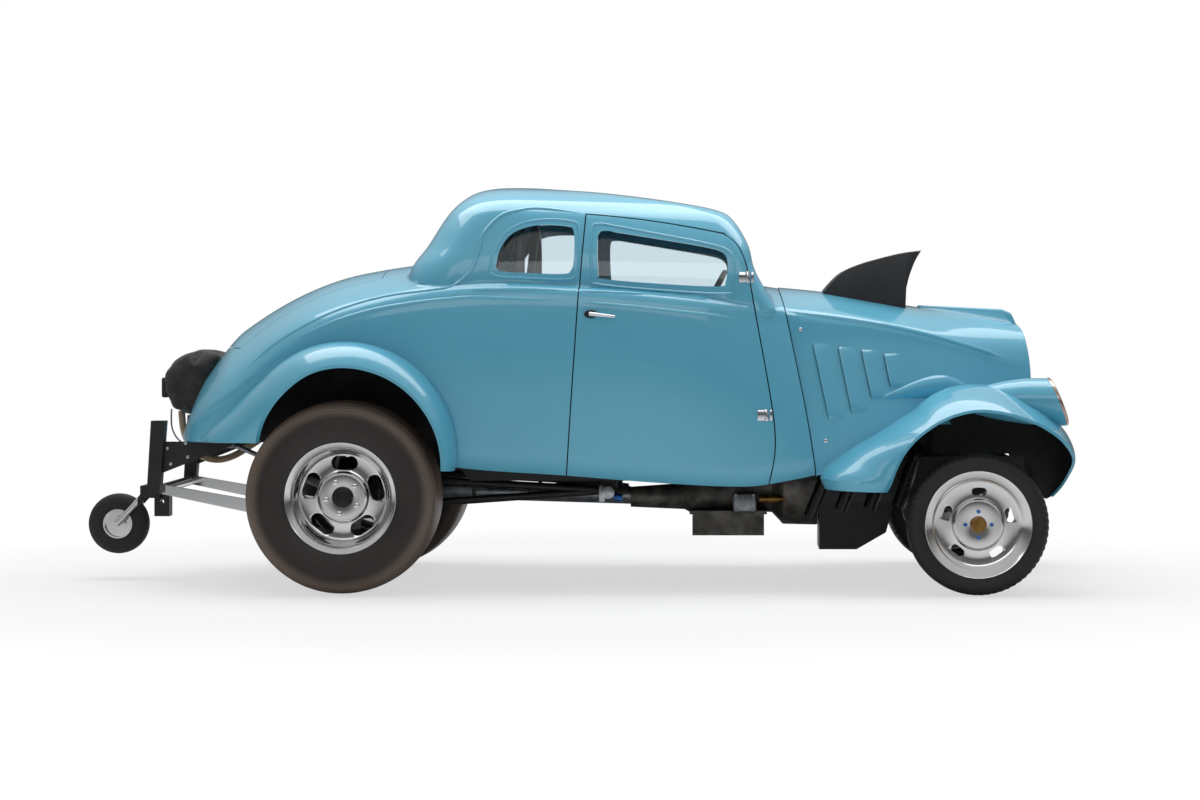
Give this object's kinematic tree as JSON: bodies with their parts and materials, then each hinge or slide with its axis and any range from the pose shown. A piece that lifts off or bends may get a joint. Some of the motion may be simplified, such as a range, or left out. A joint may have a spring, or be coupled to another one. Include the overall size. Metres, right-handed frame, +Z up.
{
  "type": "drag racing car",
  "caption": "Full-size 1930s coupe built for drag racing: straight front axle, tilting nose, wide rear slicks, wheelie bar and parachute pack.",
  "frame": {"origin": "on the ground below the middle of the car's length and width", "axes": "+X forward, +Y to the driver's left, +Z up"},
  "size_m": [4.138, 1.656, 1.663],
  "materials": {
    "body_paint": "gloss light blue enamel",
    "clear_glass": "clear",
    "lamp_glass": "ribbed",
    "bright_chrome": "polished",
    "dark_gelcoat": "satin dark grey",
    "black_sheet": "flat black",
    "black_enamel": "semi-gloss black",
    "cast_block": "painted cast",
    "cast_alloy": "as cast, oily",
    "polished_alloy": "polished",
    "black_grip": "satin",
    "black_vinyl": "satin vinyl",
    "rubber_black": "crackle black",
    "pack_fabric": "worn dark nylon",
    "tan_webbing": "woven webbing",
    "cable_sheath": "plastic-covered cable",
    "slick_rubber": "worn brownish rubber",
    "tyre_rubber": "satin rubber"
  },
  "bodies": {
    "chassis": {"roof_panel": "body_paint", "quarter_panels": "body_paint", "cowl_panel": "body_paint", "tail_panel": "body_paint", "rear_fenders": "body_paint", "fixed_glass": "clear_glass", "wheel_tubs": "black_sheet", "floor_pan": "black_sheet", "frame_rails": "black_enamel", "cross_members": "black_enamel", "engine_block": "cast_block", "gearbox": "cast_alloy", "oil_pan": "black_sheet", "headers": "black_enamel", "driveshaft": "black_enamel", "rear_axle": "black_enamel", "ladder_bars": "black_enamel", "rear_shocks": "bright_chrome", "front_axle": "bright_chrome", "leaf_springs": "black_enamel", "steering_column": "black_enamel", "dashboard": "black_enamel", "seat": "black_vinyl", "roll_cage": "black_enamel", "radiator": "cast_alloy", "push_bars": "rubber_black", "wheelie_bars": "bright_chrome", "parachute_pack": "pack_fabric", "tether_strap": "tan_webbing", "release_cable": "cable_sheath"},
    "front_clip": {"hood_shell": "body_paint", "front_fenders": "body_paint", "headlamps": "lamp_glass", "grille": "bright_chrome", "scoop": "dark_gelcoat"},
    "door_left_body": {"door_left": "body_paint", "door_glass_left": "clear_glass", "door_fittings_left": "bright_chrome"},
    "door_right_body": {"door_right": "body_paint", "door_glass_right": "clear_glass", "door_fittings_right": "bright_chrome"},
    "deck": {"deck_lid": "body_paint"},
    "knuckle_left_body": {"knuckle_left": "black_enamel"},
    "knuckle_right_body": {"knuckle_right": "black_enamel"},
    "tie_rod_body": {"tie_rod": "bright_chrome"},
    "steering_wheel_body": {"steering_wheel": "black_grip"},
    "front_wheel_left": {"front_rim_left": "polished_alloy", "front_tyre_left": "tyre_rubber"},
    "front_wheel_right": {"front_rim_right": "polished_alloy", "front_tyre_right": "tyre_rubber"},
    "rear_wheel_left": {"rear_rim_left": "polished_alloy", "rear_tyre_left": "slick_rubber"},
    "rear_wheel_right": {"rear_rim_right": "polished_alloy", "rear_tyre_right": "slick_rubber"},
    "wheelie_wheel": {"wheelie_rim": "bright_chrome", "wheelie_tyre": "tyre_rubber"}
  },
  "joints": [
    {"name": "front_clip_tilt", "type": "hinge", "parent": "chassis", "child": "front_clip", "pos_m": [1.905, 0, 0.42], "axis": [0, 1, 0], "range_deg": [0, 60]},
    {"name": "door_left_hinge", "type": "hinge", "parent": "chassis", "child": "door_left_body", "pos_m": [0.813, 0.63, 0.723], "axis": [0.1319, 0.0321, -0.9907], "range_deg": [0, 65]},
    {"name": "door_right_hinge", "type": "hinge", "parent": "chassis", "child": "door_right_body", "pos_m": [0.813, -0.63, 0.723], "axis": [-0.1319, 0.0321, 0.9907], "range_deg": [0, 65]},
    {"name": "deck_lid_hinge", "type": "hinge", "parent": "chassis", "child": "deck", "pos_m": [-0.767, 0, 1.32], "axis": [0, 1, 0], "range_deg": [0, 55]},
    {"name": "steer_left", "type": "hinge", "parent": "chassis", "child": "knuckle_left_body", "pos_m": [1.656, 0.585, 0.286], "axis": [0, 0, 1], "range_deg": [-28, 28]},
    {"name": "steer_right", "type": "hinge", "parent": "chassis", "child": "knuckle_right_body", "pos_m": [1.656, -0.585, 0.286], "axis": [0, 0, 1], "range_deg": [-28, 28]},
    {"name": "tie_rod_pivot", "type": "hinge", "parent": "knuckle_left_body", "child": "tie_rod_body", "pos_m": [1.526, 0.585, 0.236], "axis": [0, 0, 1], "range_deg": [-28, 28]},
    {"name": "steering_wheel_turn", "type": "hinge", "parent": "chassis", "child": "steering_wheel_body", "pos_m": [0.56, 0.3, 1.15], "axis": [-0.8829, 0, 0.4695], "range_deg": [-450, 450]},
    {"name": "front_wheel_left_spin", "type": "hinge", "parent": "knuckle_left_body", "child": "front_wheel_left", "pos_m": [1.656, 0.706, 0.286], "axis": [0, 1, 0], "continuous": true},
    {"name": "front_wheel_right_spin", "type": "hinge", "parent": "knuckle_right_body", "child": "front_wheel_right", "pos_m": [1.656, -0.706, 0.286], "axis": [0, 1, 0], "continuous": true},
    {"name": "rear_wheel_left_spin", "type": "hinge", "parent": "chassis", "child": "rear_wheel_left", "pos_m": [-0.884, 0.62, 0.391], "axis": [0, 1, 0], "continuous": true},
    {"name": "rear_wheel_right_spin", "type": "hinge", "parent": "chassis", "child": "rear_wheel_right", "pos_m": [-0.884, -0.62, 0.391], "axis": [0, 1, 0], "continuous": true},
    {"name": "wheelie_wheel_spin", "type": "hinge", "parent": "chassis", "child": "wheelie_wheel", "pos_m": [-1.938, 0, 0.236], "axis": [0, 1, 0], "continuous": true}
  ],
  "couplings": [
    {"joint": "steer_right", "follows": "steer_left", "ratio": 1},
    {"joint": "tie_rod_pivot", "follows": "steer_left", "ratio": -1},
    {"joint": "steering_wheel_turn", "follows": "steer_left", "ratio": 16}
  ]
}
